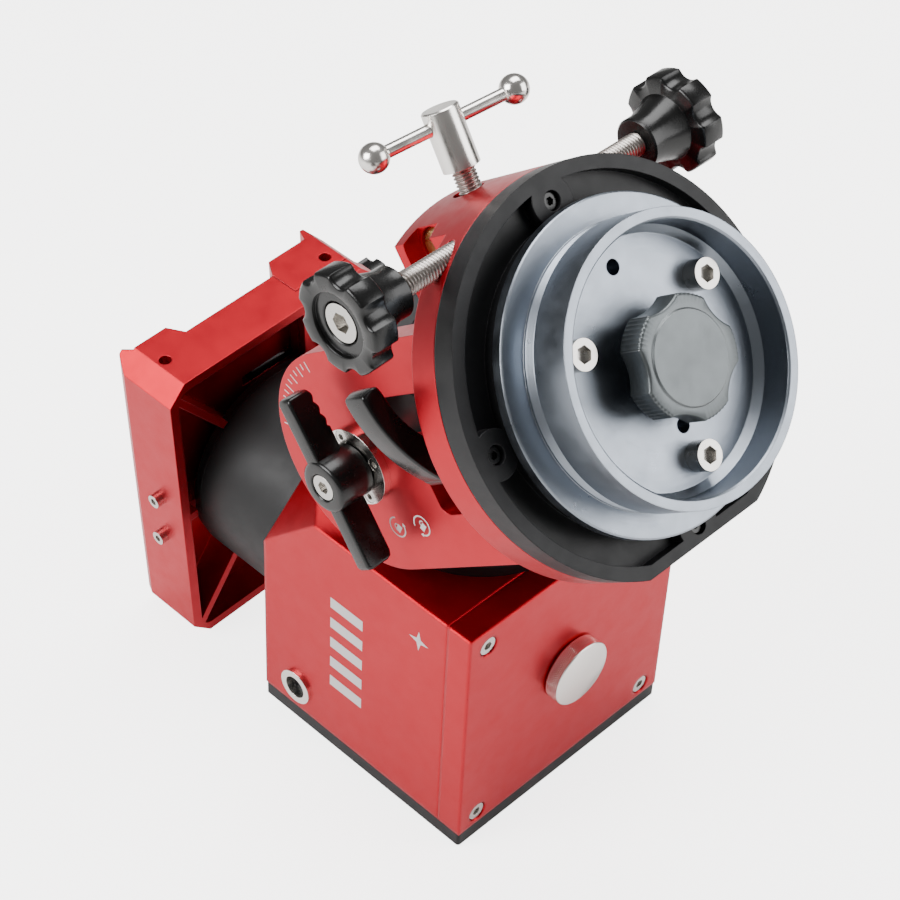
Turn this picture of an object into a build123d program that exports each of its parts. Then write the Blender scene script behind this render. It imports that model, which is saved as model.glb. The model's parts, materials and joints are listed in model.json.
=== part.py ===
from build123d import *
import os
from math import cos, radians, sin, sqrt

# Strain-wave equatorial mount head, in millimetres.
# Origin: centre of the tripod adapter's lower rim. +Z is the azimuth axis, up from the tripod.
# X is the altitude axis and +Y is the side the polar axis rises towards.

# Driving dimensions
LATITUDE = 38.7
DEC_OFFSET_ANGLE = 3.2
ALT_Z = 107.0
POLAR_OFFSET = 4.2
GAP = 0.3
RUN = 0.05

RIM_R = 45.9
RIM_BORE_R = 42.2
CUP_FLOOR_Z = 13.8
CUP_FLOOR_R = 39.7
GROOVE_R = 43.8
ADAPTER_FLANGE_R = 53.6
ADAPTER_FLANGE_Z = 20.2
ADAPTER_TOP_Z = 25.0
RING_Z = 27.3
RING_TOP_Z = 36.1
RING_R = 66.2
FLAT_Y = 61.0
YOKE_Z = 36.4
YOKE_FLOOR_Z = 48.0

ARM_OUT_X = 52.5
ARM_IN_X = 42.0
ARM_R = 39.5
PIVOT_R = 9.0
CAP_R = 13.6
CAP_T = 3.0
BRACKET_X = 26.5
BRACKET_Z = 76.0
BRACKET_IN_Y = 40.0

AZ_Y = -55.2
AZ_Z = 42.2
POST_X = -2.2
POST_R = 5.0
AZ_HUB_X = {"left": 56.0, "right": 51.6}
AZ_SCREW_R = 4.0

NUT_Y = -55.5
NUT_Z = 64.0
NUT_R = 7.0
ALT_SCREW_TILT = 5.6

HOUSING_R = 41.0
HOUSING_BORE_R = 37.0
UNIT_BOTTOM = -30.0
UNIT_TOP = 40.0
MOTOR_OFFSET = 20.0

BOX_TOP = 45.5
BOX_BOTTOM = 145.2
COVER_BOTTOM = 151.8
BOX_X0 = -52.6
BOX_X1 = 37.0
PLATE_X1 = 47.5
BOX_HALF_Y = 52.3
CORNER_CUT = 26.0
DEC_Z = 95.4
DEC_UNIT = 60.5

SADDLE_BACK = 99.4
SADDLE_POCKET = 104.4
SADDLE_SHELF = 107.4
SADDLE_FLOOR = 119.6
SADDLE_LAND = 126.4
SADDLE_TIP = 131.0
SADDLE_HALF_L = 66.0
SADDLE_HALF_W = 50.5
SADDLE_CHAMFER = 7.5

S = sin(radians(LATITUDE))
C = cos(radians(LATITUDE))
X_DIR = Vector(1, 0, 0)
POLE = Vector(0, C, S)
SIDE = Vector(0, S, -C)
OUTWARD = SIDE * -1
ALT_POINT = Vector(0, 0, ALT_Z)
RA_POINT = ALT_POINT + SIDE * POLAR_OFFSET
DEC_POINT = RA_POINT + POLE * DEC_Z
DS = sin(radians(DEC_OFFSET_ANGLE))
DC = cos(radians(DEC_OFFSET_ANGLE))
RAIL = POLE * DC + X_DIR * DS
RAIL_SIDE = OUTWARD.cross(RAIL)

os.makedirs("parts", exist_ok=True)


def save(part, label):
    part.label = label
    export_step(part, "parts/" + label + ".step")


def head(x, y, z):
    """Point in the head's frame: x away from the saddle, y towards -X, z along the polar axis."""
    return RA_POINT + SIDE * x - X_DIR * y + POLE * z


def head_plane(z):
    """Plane square to the polar axis, facing the pole, with its x away from the saddle."""
    return Plane(origin=head(0, 0, z), x_dir=SIDE, z_dir=POLE)


def end_plane(x):
    """Plane square to the declination axis, facing away from the saddle, with its y along the pole."""
    return Plane(origin=head(x, 0, 0), x_dir=X_DIR * -1, z_dir=SIDE)


def rail_plane(z):
    """Plane square to the declination axis, facing outwards, with its x along the dovetail."""
    return Plane(origin=DEC_POINT + OUTWARD * z, x_dir=RAIL, z_dir=OUTWARD)


def side_plane(x, y, z, sign):
    """Plane square to the altitude axis, facing sign * X, with its x along +Y times that sign."""
    return Plane(origin=(x, y, z), x_dir=(0, sign, 0), z_dir=(sign, 0, 0))


UNITS = {
    "ra": (RA_POINT, POLE, SIDE),
    "dec": (DEC_POINT + OUTWARD * DEC_UNIT, OUTWARD, POLE),
}


def unit_plane(unit, z):
    origin, out, across = UNITS[unit]
    return Plane(origin=origin + out * z, x_dir=across, z_dir=out)


def unit_profile(unit):
    """Half-plane for turned pieces: local x is the radius and local y runs out along the axis."""
    origin, out, across = UNITS[unit]
    return Plane(origin=origin, x_dir=across, z_dir=across.cross(out))


def unit_axis(unit):
    origin, out, _ = UNITS[unit]
    return Axis(origin, out)


def turned(plane, axis, points):
    with BuildPart(mode=Mode.PRIVATE) as piece:
        with BuildSketch(plane):
            with BuildLine():
                Polyline(*points, close=True)
            make_face()
        revolve(axis=axis)
    return piece.part


def cap_screw(planes, head_r, head_h, shank_r, shank_l, socket_r, socket_d):
    """Socket-head cap screws whose heads sit on the given planes, shanks running the other way."""
    with BuildPart(mode=Mode.PRIVATE) as screws:
        for plane in planes:
            with BuildSketch(plane):
                Circle(head_r)
            extrude(amount=head_h)
            with BuildSketch(plane):
                Circle(shank_r)
            extrude(amount=-shank_l)
            with BuildSketch(plane.offset(head_h)):
                RegularPolygon(socket_r, 6)
            extrude(amount=-socket_d, mode=Mode.SUBTRACT)
    return screws.part


Z_PROFILE = Plane.XZ

# ---- Base, fixed to the tripod ----

with BuildPart() as adapter:
    with BuildSketch(Z_PROFILE):
        with BuildLine():
            Polyline(
                (4.8, CUP_FLOOR_Z),
                (CUP_FLOOR_R, CUP_FLOOR_Z),
                (RIM_BORE_R, CUP_FLOOR_Z - 2.5),
                (RIM_BORE_R, 0.6),
                (RIM_BORE_R + 0.6, 0),
                (RIM_R, 0),
                (RIM_R, 14.4),
                (GROOVE_R, 17.3),
                (45.4, 19.2),
                (45.4, ADAPTER_FLANGE_Z),
                (ADAPTER_FLANGE_R - 0.5, ADAPTER_FLANGE_Z),
                (ADAPTER_FLANGE_R, ADAPTER_FLANGE_Z + 0.5),
                (ADAPTER_FLANGE_R, ADAPTER_TOP_Z - 0.5),
                (ADAPTER_FLANGE_R - 0.5, ADAPTER_TOP_Z),
                (47.0, ADAPTER_TOP_Z),
                (47.0, RING_Z),
                (4.8, RING_Z),
                close=True,
            )
        make_face()
    revolve(axis=Axis.Z)
    with BuildSketch(Plane.XY.offset(CUP_FLOOR_Z)):
        with PolarLocations(32.2, 3, start_angle=-30):
            Circle(3.2)
    extrude(amount=20, mode=Mode.SUBTRACT)
    with BuildSketch(Plane.XY.offset(CUP_FLOOR_Z)):
        with Locations((0, -32.3), (0, 21.4)):
            Circle(2.5)
    extrude(amount=10, mode=Mode.SUBTRACT)
save(adapter.part, "tripod_adapter")

bolt_planes = []
for angle in (-30, 90, 210):
    bolt_x = 32.2 * cos(radians(angle))
    bolt_y = 32.2 * sin(radians(angle))
    bolt_planes.append(Plane(origin=(bolt_x, bolt_y, CUP_FLOOR_Z), x_dir=(1, 0, 0), z_dir=(0, 0, -1)))
save(cap_screw(bolt_planes, 5.0, 6.0, 3.0, 20.0, 2.9, 3.0), "adapter_bolts")

RING_SCREWS = ((58, 0), (-58, 0), (0, -56.6), (0, 55.4))

with BuildPart() as ring:
    with BuildSketch(Plane.XY.offset(RING_Z)):
        Circle(RING_R)
        Circle(5.3, mode=Mode.SUBTRACT)
        with Locations((0, FLAT_Y + 10)):
            Rectangle(150, 20, mode=Mode.SUBTRACT)
    extrude(amount=RING_TOP_Z - RING_Z)
    with BuildSketch(Plane.XY.offset(RING_Z)):
        Circle(61.5)
        Circle(51.0, mode=Mode.SUBTRACT)
        with Locations((0, FLAT_Y + 6)):
            Rectangle(150, 20, mode=Mode.SUBTRACT)
        with Locations(*RING_SCREWS):
            Circle(8.0, mode=Mode.SUBTRACT)
    extrude(amount=4.5, mode=Mode.SUBTRACT)
    with BuildSketch(Plane.XY.offset(RING_Z)):
        with Locations(*RING_SCREWS):
            Circle(3.2)
    extrude(amount=4.0, mode=Mode.SUBTRACT)
    with BuildSketch(Plane.XY.offset(RING_Z + 4.0)):
        with Locations(*RING_SCREWS):
            Circle(1.5)
    extrude(amount=3.0, mode=Mode.SUBTRACT)
    with BuildSketch(Plane.XY.offset(RING_Z)):
        with PolarLocations(32.2, 3, start_angle=-30):
            Circle(3.0)
    extrude(amount=7.0, mode=Mode.SUBTRACT)
    with BuildSketch(Plane.XY.offset(RING_TOP_Z)):
        with Locations((POST_X, AZ_Y)):
            Circle(POST_R)
    extrude(amount=11.4)
save(ring.part, "base_ring")

ring_planes = []
for px, py in RING_SCREWS:
    ring_planes.append(Plane(origin=(px, py, RING_Z + 4.0), x_dir=(1, 0, 0), z_dir=(0, 0, -1)))
save(cap_screw(ring_planes, 2.75, 2.6, 1.5, 3.0, 1.4, 1.4), "ring_screws")

save(
    turned(
        Z_PROFILE,
        Axis.Z,
        [
            (5.3, RING_TOP_Z),
            (24.95, RING_TOP_Z),
            (24.95, YOKE_FLOOR_Z + GAP),
            (29.5, YOKE_FLOOR_Z + GAP),
            (30.0, YOKE_FLOOR_Z + 0.8),
            (30.0, YOKE_FLOOR_Z + 3.7),
            (29.5, YOKE_FLOOR_Z + 4.2),
            (14.0, YOKE_FLOOR_Z + 4.2),
            (14.0, YOKE_FLOOR_Z + 1.5),
            (5.3, YOKE_FLOOR_Z + 1.5),
        ],
    ),
    "azimuth_spindle",
)

# ---- Centre knob of the adapter ----

with BuildPart() as centre_knob:
    with BuildSketch(Plane.XY.offset(-2.4)):
        Circle(19.7)
        with PolarLocations(34.9, 5, start_angle=49.3):
            Circle(17.7, mode=Mode.SUBTRACT)
    extrude(amount=9.9)
    with BuildSketch(Plane.XY.offset(-2.4)):
        Circle(15.2)
    extrude(amount=-0.7, taper=30)
    with BuildSketch(Plane.XY.offset(7.5)):
        Circle(9.0)
    extrude(amount=CUP_FLOOR_Z - GAP - 7.5)
    with BuildSketch(Plane.XY.offset(CUP_FLOOR_Z - GAP)):
        Circle(4.76)
    extrude(amount=26.0)
    chamfer(centre_knob.edges().sort_by(Axis.Z)[-1], 0.8)
save(centre_knob.part, "centre_knob")

# ---- Azimuth yoke ----

with BuildPart() as yoke:
    with BuildSketch(Plane.XY.offset(YOKE_Z)):
        Circle(RING_R)
        Circle(25.0, mode=Mode.SUBTRACT)
        with Locations((0, FLAT_Y + 10)):
            Rectangle(150, 20, mode=Mode.SUBTRACT)
    extrude(amount=YOKE_FLOOR_Z - YOKE_Z)
    for sign in (-1, 1):
        with BuildSketch(side_plane(sign * ARM_IN_X, 0, ALT_Z, sign)):
            Circle(ARM_R)
            with Locations((0, (YOKE_FLOOR_Z - ALT_Z) / 2)):
                Rectangle(2 * ARM_R, ALT_Z - YOKE_FLOOR_Z)
        extrude(amount=ARM_OUT_X - ARM_IN_X)
    with BuildSketch(Plane.XY.offset(YOKE_FLOOR_Z)):
        Circle(RING_R)
        with Locations((0, 0)):
            Rectangle(200, 2 * BRACKET_IN_Y, mode=Mode.SUBTRACT)
        with Locations((0, 60)):
            Rectangle(200, 120, mode=Mode.SUBTRACT)
        with Locations((BRACKET_X + 40, -60), (-BRACKET_X - 40, -60)):
            Rectangle(80, 80, mode=Mode.SUBTRACT)
    extrude(amount=BRACKET_Z - YOKE_FLOOR_Z)
    with BuildSketch(side_plane(0, AZ_Y, AZ_Z, 1)):
        Circle(AZ_SCREW_R + RUN)
    extrude(amount=80, both=True, mode=Mode.SUBTRACT)
    with BuildSketch(Plane.XY.offset(YOKE_Z)):
        with Locations((0, AZ_Y)):
            RectangleRounded(36, 13, 6.0)
    extrude(amount=11.8, mode=Mode.SUBTRACT)
    with BuildSketch(side_plane(0, NUT_Y, NUT_Z, 1)):
        Circle(NUT_R + RUN)
    extrude(amount=40, both=True, mode=Mode.SUBTRACT)
    for sign in (-1, 1):
        with BuildSketch(side_plane(sign * 20.0, NUT_Y, NUT_Z, sign)):
            SlotOverall(19.5, 15.5)
        extrude(amount=30, mode=Mode.SUBTRACT)
    with BuildSketch(Plane(origin=(0, NUT_Y, NUT_Z), x_dir=(1, 0, 0), z_dir=(0, -1, 0))):
        Circle(5.5)
    extrude(amount=30, both=True, mode=Mode.SUBTRACT)
    with BuildSketch(side_plane(-ARM_OUT_X, 0, 0, -1)):
        with Locations((0, 61.8)):
            RectangleRounded(42, 28, 4.0)
        with Locations((12.5, 73.0)):
            RectangleRounded(17, 50, 7.5)
    extrude(amount=-20, mode=Mode.SUBTRACT)
    for sign in (-1, 1):
        with BuildSketch(side_plane(sign * ARM_OUT_X, 0, ALT_Z, sign)):
            Circle(PIVOT_R + RUN)
        extrude(amount=-12, mode=Mode.SUBTRACT)
        with BuildSketch(side_plane(sign * ARM_OUT_X, 0, ALT_Z, sign)):
            with PolarLocations(10.9, 4):
                Circle(1.25)
        extrude(amount=-6, mode=Mode.SUBTRACT)
    with BuildSketch(Plane.XY.offset(YOKE_Z)):
        with Locations((-54.0, 2.0)):
            Circle(3.05)
    extrude(amount=14, mode=Mode.SUBTRACT)
save(yoke.part, "azimuth_yoke")

for name, sign in (("left", -1), ("right", 1)):
    with BuildPart() as cap:
        with BuildSketch(side_plane(sign * ARM_OUT_X, 0, ALT_Z, sign)):
            Circle(CAP_R)
            Circle(3.1, mode=Mode.SUBTRACT)
            with PolarLocations(10.9, 4):
                Circle(1.3, mode=Mode.SUBTRACT)
        extrude(amount=CAP_T)
        with BuildSketch(side_plane(sign * (ARM_OUT_X + CAP_T), 0, ALT_Z, sign)):
            with PolarLocations(10.9, 4):
                Circle(2.4)
        extrude(amount=-1.4, mode=Mode.SUBTRACT)
    save(cap.part, "pivot_cap_" + name)

cap_planes = []
for sign in (-1, 1):
    for dy, dz in ((10.9, 0), (0, 10.9), (-10.9, 0), (0, -10.9)):
        cap_planes.append(side_plane(sign * (ARM_OUT_X + CAP_T - 1.4), dy, ALT_Z + dz, sign))
save(cap_screw(cap_planes, 2.3, 1.3, 1.25, 5.0, 1.2, 0.9), "pivot_cap_screws")

# ---- Azimuth adjusters: each screw slides, its knob turns on it ----

for name, sign in (("left", -1), ("right", 1)):
    hub_x = AZ_HUB_X[name]
    tip_x = POST_R + GAP + sign * POST_X
    with BuildPart() as rod:
        with BuildSketch(side_plane(sign * tip_x, AZ_Y, AZ_Z, sign)):
            Circle(AZ_SCREW_R)
        extrude(amount=hub_x + 12.0 - tip_x)
        chamfer(rod.edges().group_by(Axis.X)[0 if sign > 0 else -1], 0.6)
    save(rod.part, "azimuth_screw_" + name)
    with BuildPart() as knob:
        with BuildSketch(side_plane(sign * hub_x, AZ_Y, AZ_Z, sign)):
            Circle(8.6)
        extrude(amount=14.5)
        with BuildSketch(side_plane(sign * (hub_x + 5.0), AZ_Y, AZ_Z, sign)):
            Circle(8.6)
        extrude(amount=9.5, taper=-18)
        with BuildSketch(side_plane(sign * (hub_x + 14.3), AZ_Y, AZ_Z, sign)):
            Circle(16.8)
            with PolarLocations(19.6, 7, start_angle=12):
                Circle(5.0, mode=Mode.SUBTRACT)
        extrude(amount=9.5)
        with BuildSketch(side_plane(sign * (hub_x + 23.8), AZ_Y, AZ_Z, sign)):
            Circle(10.6)
        extrude(amount=-1.6, mode=Mode.SUBTRACT)
        with BuildSketch(side_plane(sign * (hub_x + 23.8), AZ_Y, AZ_Z, sign)):
            Circle(7.0)
        extrude(amount=-9.8, mode=Mode.SUBTRACT)
        with BuildSketch(side_plane(sign * hub_x, AZ_Y, AZ_Z, sign)):
            Circle(AZ_SCREW_R + RUN)
        extrude(amount=14.0, mode=Mode.SUBTRACT)
    save(knob.part, "azimuth_knob_" + name)
    screw_plane = side_plane(sign * (hub_x + 14.0), AZ_Y, AZ_Z, sign)
    save(cap_screw([screw_plane], 6.5, 8.0, 2.5, 1.7, 3.5, 4.0), "azimuth_knob_screw_" + name)

# ---- Azimuth lock lever ----

with BuildPart() as lever:
    with BuildSketch(Plane.XY.offset(56.0)):
        with Locations((-54.0, 2.0)):
            Circle(7.0)
        with BuildLine():
            Spline((-60.6, 4.2), (-65.5, -10.0), (-74.0, -29.0))
            Line((-74.0, -29.0), (-64.5, -31.5))
            Spline((-64.5, -31.5), (-57.0, -14.0), (-50.0, -3.6))
            Line((-50.0, -3.6), (-60.6, 4.2))
        make_face()
    extrude(amount=11.0)
    with BuildSketch(Plane.XY.offset(56.0)):
        with Locations((-54.0, 2.0)):
            Circle(3.0)
    extrude(amount=11.0, mode=Mode.SUBTRACT)
save(lever.part, "azimuth_lock_lever")

lever_plane = Plane(origin=(-54.0, 2.0, 67.0), x_dir=(1, 0, 0), z_dir=(0, 0, 1))
save(cap_screw([lever_plane], 5.0, 3.0, 3.0, 67.0 - 36.5, 2.3, 1.8), "azimuth_lock_stud")

# ---- Altitude adjuster ----

TILT_S = sin(radians(ALT_SCREW_TILT))
TILT_C = cos(radians(ALT_SCREW_TILT))
NUT_POINT = Vector(0, NUT_Y, NUT_Z)
SCREW_OUT = Vector(0, -TILT_C, -TILT_S)
BAR_DISTANCE = 33.2
BAR_R = 2.2
BAR_DIR = Vector(0.976, 0.0213, -0.217).normalized()


def screw_plane_at(distance):
    return Plane(origin=NUT_POINT + SCREW_OUT * distance, x_dir=X_DIR, z_dir=SCREW_OUT)


with BuildPart() as nut:
    with BuildSketch(side_plane(-20.0, NUT_Y, NUT_Z, 1)):
        Circle(NUT_R)
    extrude(amount=40.0)
    chamfer(nut.edges().group_by(Axis.X)[0], 1.5)
    chamfer(nut.edges().group_by(Axis.X)[-1], 1.5)
    with BuildSketch(screw_plane_at(0)):
        Circle(4.05)
    extrude(amount=12.0, both=True, mode=Mode.SUBTRACT)
save(nut.part, "altitude_nut")

with BuildPart() as alt_screw:
    with BuildSketch(screw_plane_at(-12.5)):
        Circle(4.0)
    extrude(amount=31.0)
    with BuildSketch(screw_plane_at(18.5)):
        Circle(6.3)
    extrude(amount=20.0)
    chamfer(alt_screw.edges().group_by(Axis.Y)[0], 0.5)
    with BuildSketch(Plane(origin=NUT_POINT + SCREW_OUT * BAR_DISTANCE, x_dir=SCREW_OUT, z_dir=BAR_DIR)):
        Circle(BAR_R + RUN)
    extrude(amount=10.0, both=True, mode=Mode.SUBTRACT)
save(alt_screw.part, "altitude_screw")

BALL_R = 5.0
BALL_X = 26.5
BALL_NECK = BALL_X - (BALL_R**2 - BAR_R**2) ** 0.5

with BuildPart() as bar:
    bar_point = NUT_POINT + SCREW_OUT * BAR_DISTANCE
    with BuildSketch(Plane(origin=bar_point, x_dir=BAR_DIR, z_dir=BAR_DIR.cross(SCREW_OUT))):
        with BuildLine():
            ThreePointArc((BALL_X + BALL_R, 0), (BALL_X, BALL_R), (BALL_NECK, BAR_R))
            Line((BALL_NECK, BAR_R), (-BALL_NECK, BAR_R))
            ThreePointArc((-BALL_NECK, BAR_R), (-BALL_X, BALL_R), (-BALL_X - BALL_R, 0))
            Line((-BALL_X - BALL_R, 0), (BALL_X + BALL_R, 0))
        make_face()
    revolve(axis=Axis(bar_point, BAR_DIR))
save(bar.part, "tommy_bar")

# ---- Altitude lock levers, one on each arm ----

for name, sign in (("left", -1), ("right", 1)):
    face_x = ARM_OUT_X + CAP_T + GAP
    with BuildPart() as wing:
        with BuildSketch(side_plane(sign * face_x, 0, ALT_Z, sign)):
            Circle(9.4)
        extrude(amount=14.2)
        with BuildSketch(side_plane(sign * (face_x + 2.8), 0, ALT_Z, sign)):
            with Locations((18.5, 0), (-18.5, 0)):
                Rectangle(25.0, 7.0)
        extrude(amount=11.4)
        fillet(wing.edges().filter_by(Axis.Y), 1.0)
        with BuildSketch(side_plane(sign * (face_x + 14.2), 0, ALT_Z, sign)):
            Circle(4.8)
        extrude(amount=-5.0, mode=Mode.SUBTRACT)
        with BuildSketch(side_plane(sign * face_x, 0, ALT_Z, sign)):
            Circle(3.0)
        extrude(amount=14.2, mode=Mode.SUBTRACT)
    save(wing.part, "altitude_lever_" + name)
    wing_plane = side_plane(sign * (face_x + 9.2), 0, ALT_Z, sign)
    save(cap_screw([wing_plane], 4.5, 4.6, 3.0, 22.0, 2.3, 2.4), "altitude_lever_screw_" + name)

# ---- Strain-wave unit shared by both axes ----


def unit_ring(unit, label, outer_r, inner_r, low, high):
    with BuildPart(mode=Mode.PRIVATE) as piece:
        with BuildSketch(unit_plane(unit, low)):
            Circle(outer_r)
            Circle(inner_r, mode=Mode.SUBTRACT)
        extrude(amount=high - low)
    save(piece.part, label)


def motor(unit, label):
    with BuildPart(mode=Mode.PRIVATE) as piece:
        with BuildSketch(unit_plane(unit, -26.0)):
            with Locations((MOTOR_OFFSET, 0)):
                RectangleRounded(28.0, 28.0, 3.0)
        extrude(amount=24.0)
        with BuildSketch(unit_plane(unit, -2.0)):
            with Locations((MOTOR_OFFSET, 0)):
                Circle(2.6)
        extrude(amount=-12.0, mode=Mode.SUBTRACT)
    save(piece.part, label)


def motor_pulley(unit, label):
    with BuildPart(mode=Mode.PRIVATE) as piece:
        with BuildSketch(unit_plane(unit, -13.0)):
            with Locations((MOTOR_OFFSET, 0)):
                Circle(2.5)
        extrude(amount=25.0)
        with BuildSketch(unit_plane(unit, 2.5)):
            with Locations((MOTOR_OFFSET, 0)):
                Circle(4.5)
        extrude(amount=8.0)
        for low in (2.5, 9.5):
            with BuildSketch(unit_plane(unit, low)):
                with Locations((MOTOR_OFFSET, 0)):
                    Circle(5.6)
            extrude(amount=1.0)
    save(piece.part, label)


def wave_generator(unit, label):
    points = [
        (0, -1.8),
        (4.95, -1.8),
        (4.95, 2.5),
        (13.9, 2.5),
        (13.9, 3.5),
        (13.0, 3.5),
        (13.0, 9.5),
        (13.9, 9.5),
        (13.9, 10.5),
        (6.0, 10.5),
        (6.0, 21.0),
        (28.4, 21.0),
        (28.4, 31.0),
        (0, 31.0),
    ]
    save(turned(unit_profile(unit), unit_axis(unit), points), label)


def flexspline(unit, label):
    points = [
        (28.5, 19.0),
        (29.5, 19.0),
        (29.5, 38.0),
        (8.0, 38.0),
        (8.0, 36.0),
        (28.5, 36.0),
    ]
    save(turned(unit_profile(unit), unit_axis(unit), points), label)


def belt(unit, label):
    with BuildPart(mode=Mode.PRIVATE) as piece:
        with BuildSketch(unit_plane(unit, 3.8)):
            with BuildLine():
                CenterArc((0, 0), 14.3, 0, 360)
                CenterArc((MOTOR_OFFSET, 0), 5.9, 0, 360)
            make_hull()
        extrude(amount=5.4)
        with BuildSketch(unit_plane(unit, 3.8)):
            with BuildLine():
                CenterArc((0, 0), 13.1, 0, 360)
                CenterArc((MOTOR_OFFSET, 0), 4.6, 0, 360)
            make_hull()
        extrude(amount=5.4, mode=Mode.SUBTRACT)
    save(piece.part, label)


def output_flange(unit, label, outer_r, top):
    points = [
        (8.0, 38.0),
        (29.5, 38.0),
        (29.5, 34.3),
        (33.0, 34.3),
        (33.0, UNIT_TOP + GAP),
        (outer_r - 0.6, UNIT_TOP + GAP),
        (outer_r, UNIT_TOP + GAP + 0.6),
        (outer_r, top),
        (8.0, top),
    ]
    save(turned(unit_profile(unit), unit_axis(unit), points), label)


for unit in ("ra", "dec"):
    motor(unit, unit + "_motor")
    motor_pulley(unit, unit + "_motor_pulley")
    belt(unit, unit + "_belt")
    wave_generator(unit, unit + "_wave_generator")
    flexspline(unit, unit + "_flexspline")
    unit_ring(unit, unit + "_circular_spline", HOUSING_BORE_R, 29.8, 20.0, 33.5)
    unit_ring(unit, unit + "_output_bearing", HOUSING_BORE_R, 33.05, 33.5, UNIT_TOP)
output_flange("ra", "ra_output_flange", 40.2, BOX_TOP)
output_flange("dec", "dec_output_flange", 40.2, SADDLE_POCKET - DEC_UNIT)

# ---- Right-ascension housing, tilting between the arms ----

with BuildPart() as housing:
    with BuildSketch(head_plane(UNIT_BOTTOM)):
        Circle(HOUSING_R)
    extrude(amount=UNIT_TOP - UNIT_BOTTOM)
    chamfer(housing.edges().group_by(Axis(RA_POINT, POLE))[0], 1.5)
    with BuildSketch(head_plane(UNIT_BOTTOM + 3.0)):
        Circle(HOUSING_BORE_R)
    extrude(amount=-2.0 - UNIT_BOTTOM - 3.0, mode=Mode.SUBTRACT)
    with BuildSketch(head_plane(1.5)):
        Circle(HOUSING_BORE_R)
    extrude(amount=UNIT_TOP - 1.5, mode=Mode.SUBTRACT)
    with BuildSketch(head_plane(-2.0)):
        Circle(5.0)
        with Locations((MOTOR_OFFSET, 0)):
            Circle(3.2)
    extrude(amount=4.0, mode=Mode.SUBTRACT)
    for sign in (-1, 1):
        with BuildSketch(side_plane(sign * 30.0, 0, ALT_Z, sign)):
            Circle(14.0)
        extrude(amount=ARM_IN_X - GAP - 30.0)
    with BuildSketch(head_plane(UNIT_BOTTOM + 3.0)):
        Circle(HOUSING_BORE_R)
    extrude(amount=-2.0 - UNIT_BOTTOM - 3.0, mode=Mode.SUBTRACT)
    with BuildSketch(head_plane(1.5)):
        Circle(HOUSING_BORE_R)
    extrude(amount=UNIT_TOP - 1.5, mode=Mode.SUBTRACT)
    for sign in (-1, 1):
        with BuildSketch(side_plane(sign * 37.4, 0, ALT_Z, sign)):
            Circle(PIVOT_R)
        extrude(amount=10, mode=Mode.SUBTRACT)
    with BuildSketch(head_plane(UNIT_BOTTOM)):
        with Locations((-14, 0)):
            RectangleRounded(26, 46, 3.0)
    extrude(amount=5, mode=Mode.SUBTRACT)
save(housing.part, "ra_housing")

with BuildPart() as pins:
    for sign in (-1, 1):
        with BuildSketch(side_plane(sign * 37.4, 0, ALT_Z, sign)):
            Circle(PIVOT_R)
            Circle(3.05, mode=Mode.SUBTRACT)
        extrude(amount=ARM_OUT_X - GAP - 37.4)
save(pins.part, "altitude_pivots")

with BuildPart() as port_panel:
    with BuildSketch(head_plane(UNIT_BOTTOM)):
        with Locations((-14, 0)):
            RectangleRounded(26, 46, 3.0)
    extrude(amount=3.0)
    with BuildSketch(head_plane(UNIT_BOTTOM)):
        with Locations((-14, 15)):
            Circle(4.5)
        with Locations((-14, 3)):
            Rectangle(11.0, 12.0)
        with Locations((-14, -12)):
            Rectangle(12.0, 13.5)
    extrude(amount=3.0, mode=Mode.SUBTRACT)
save(port_panel.part, "port_panel")

with BuildPart() as ports:
    with BuildSketch(head_plane(UNIT_BOTTOM + 0.3)):
        with Locations((-14, 15)):
            Circle(4.5)
            Circle(2.8, mode=Mode.SUBTRACT)
        with Locations((-14, 3)):
            Rectangle(11.0, 12.0)
            Rectangle(8.4, 8.4, mode=Mode.SUBTRACT)
        with Locations((-14, -12)):
            Rectangle(12.0, 13.5)
            Rectangle(9.0, 10.6, mode=Mode.SUBTRACT)
    extrude(amount=6.0)
    with BuildSketch(head_plane(UNIT_BOTTOM + 6.3)):
        with Locations((-14, 15)):
            Circle(4.5)
        with Locations((-14, 3)):
            Rectangle(11.0, 12.0)
        with Locations((-14, -12)):
            Rectangle(12.0, 13.5)
    extrude(amount=1.7)
    with BuildSketch(head_plane(UNIT_BOTTOM + 2.3)):
        with Locations((-14, 15)):
            Circle(1.0)
        with Locations((-14, 3)):
            Rectangle(4.6, 5.4)
    extrude(amount=5.0)
save(ports.part, "port_connectors")

with BuildPart() as board:
    with BuildSketch(head_plane(UNIT_BOTTOM + 8.0)):
        with Locations((-14, 0)):
            Rectangle(27, 44)
    extrude(amount=1.6)
    with BuildSketch(head_plane(UNIT_BOTTOM + 9.6)):
        with Locations((-12, 8)):
            Rectangle(12, 12)
        with Locations((-18, -12)):
            Rectangle(9, 7)
        with Locations((-24, 14)):
            Circle(3.0)
    extrude(amount=2.4)
save(board.part, "control_board")

# ---- Declination housing, turned by the right-ascension drive ----


def corner_cutter():
    """The two box corners beside the saddle, where they face the fork."""
    with BuildPart(mode=Mode.PRIVATE) as cutter:
        for sign in (-1, 1):
            corner = head(BOX_X0, sign * BOX_HALF_Y, BOX_TOP)
            along_x = head(BOX_X0 + CORNER_CUT, sign * BOX_HALF_Y, BOX_TOP)
            along_y = head(BOX_X0, sign * (BOX_HALF_Y - CORNER_CUT), BOX_TOP)
            along_z = head(BOX_X0, sign * BOX_HALF_Y, BOX_TOP + CORNER_CUT)
            middle = (along_x + along_y + along_z) / 3
            outside = (corner - middle).normalized()
            with BuildSketch(Plane(origin=middle, x_dir=(along_x - middle).normalized(), z_dir=outside)):
                Circle(60)
            extrude(amount=60)
    return cutter.part


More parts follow.
